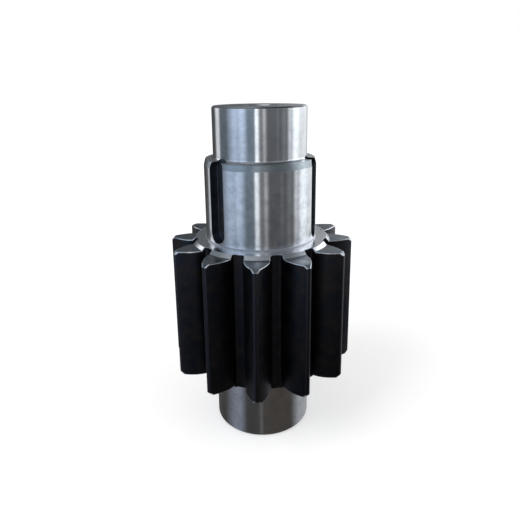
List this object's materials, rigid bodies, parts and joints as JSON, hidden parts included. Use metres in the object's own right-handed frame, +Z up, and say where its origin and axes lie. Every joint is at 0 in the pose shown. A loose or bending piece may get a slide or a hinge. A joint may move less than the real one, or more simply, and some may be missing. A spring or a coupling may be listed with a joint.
{
  "type": "pinion gear",
  "caption": "Heavy pinion shaft in one piece: coarse spur teeth between a lower journal and a land with keyways, with a smaller journal above.",
  "frame": {"origin": "centre of the bottom face, on the shaft's axis", "axes": "+Z up the shaft towards the smaller journal, one keyway opening towards +X"},
  "size_m": [0.2906, 0.2906, 0.5395],
  "materials": {
    "steel": "turned and ground journals, dark hardened tooth flanks"
  },
  "bodies": {
    "root": {"pinion_gear": "steel"}
  },
  "joints": []
}
